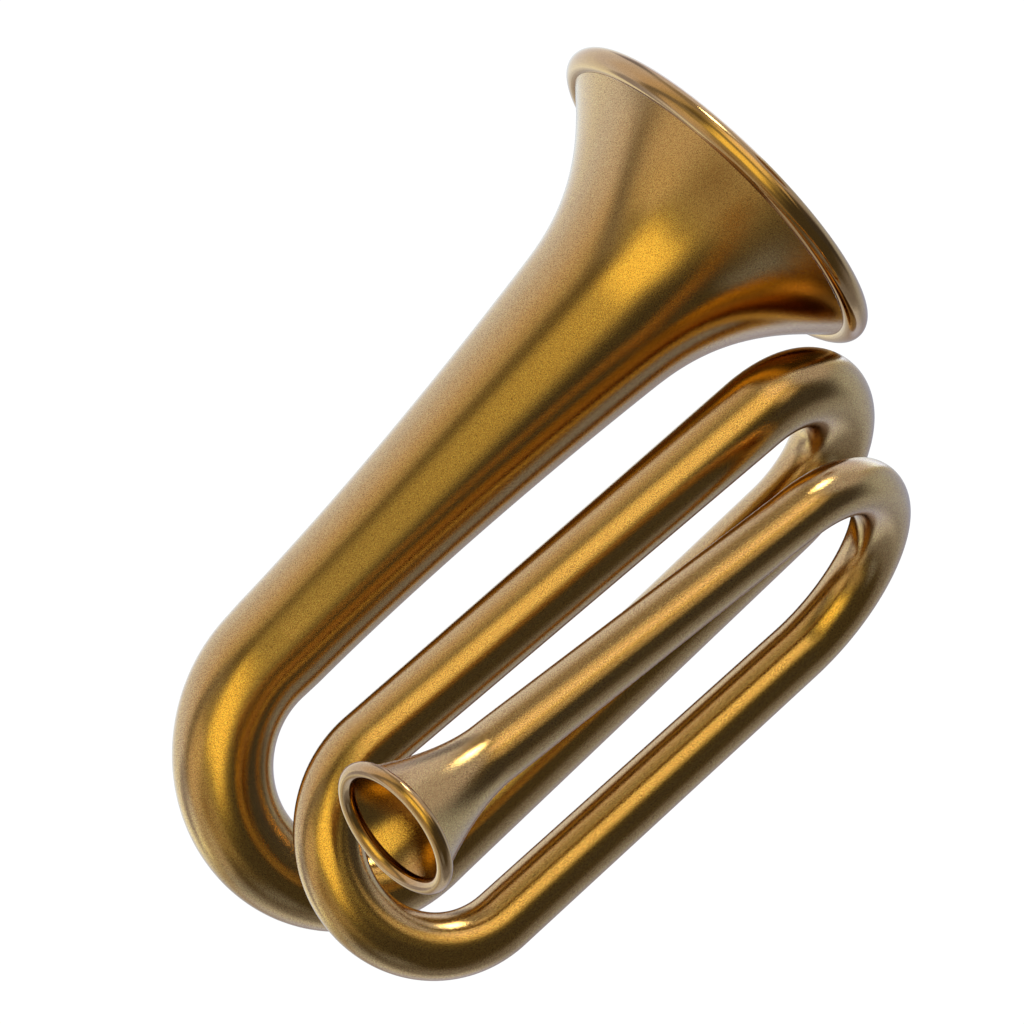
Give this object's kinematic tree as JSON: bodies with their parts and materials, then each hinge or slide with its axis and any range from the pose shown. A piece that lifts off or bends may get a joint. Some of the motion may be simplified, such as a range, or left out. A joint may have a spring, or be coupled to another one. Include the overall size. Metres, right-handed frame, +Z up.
{
  "type": "valveless sousaphone horn",
  "caption": "Valveless folded brass horn with a flared, beaded bell, U-shaped bows, a pull-out tuning slide, a tuning bit and a funnel mouthpiece.",
  "frame": {"origin": "centre of the flat land on the front of the bell rim", "axes": "+Z up with the horn lying on its side on its bell rim and bows, +X out of the bell along the tubes, +Y to the bell's left"},
  "size_m": [0.2618, 0.1814, 0.1784],
  "materials": {
    "satin_brass": "satin, warm gold lacquer with fine grain",
    "bead_brass": "polished",
    "inner_brass": "plain, unlacquered",
    "nickel_silver": "drawn nickel-silver tube",
    "steel_wire": "drawn wire"
  },
  "bodies": {
    "horn": {"bell": "satin_brass", "bell_rim": "bead_brass", "bell_rim_wire": "steel_wire", "bell_bow": "satin_brass", "back_branch": "satin_brass", "top_bow": "satin_brass", "middle_branch": "satin_brass", "slide_liner_upper": "nickel_silver", "slide_liner_lower": "nickel_silver", "lower_branch": "satin_brass", "end_bow": "satin_brass", "leadpipe": "satin_brass", "receiver": "nickel_silver", "sleeve_bell": "inner_brass", "sleeve_back_lower": "inner_brass", "sleeve_back_upper": "inner_brass", "sleeve_middle": "inner_brass", "sleeve_lower": "inner_brass", "sleeve_lead": "inner_brass"},
    "tuning_slide": {"slide_bow": "satin_brass", "slide_leg_upper": "nickel_silver", "slide_leg_lower": "nickel_silver"},
    "tuning_bit_body": {"tuning_bit": "nickel_silver"},
    "mouthpiece": {"mouthpiece_cup": "satin_brass", "mouthpiece_rim": "bead_brass", "mouthpiece_throat": "inner_brass", "mouthpiece_socket": "nickel_silver"}
  },
  "joints": [
    {"name": "slide_pull", "type": "slide", "parent": "horn", "child": "tuning_slide", "axis": [-0.9968, 0.078, -0.0186], "range_m": [0, 0.02]},
    {"name": "bit_pull", "type": "slide", "parent": "horn", "child": "tuning_bit_body", "axis": [-0.9818, 0.1392, 0.1294], "range_m": [0, 0.014]},
    {"name": "mouthpiece_turn", "type": "hinge", "parent": "tuning_bit_body", "child": "mouthpiece", "pos_m": [-0.2041, -0.06151, 0.08944], "axis": [-0.9818, 0.1392, 0.1294], "continuous": true}
  ]
}
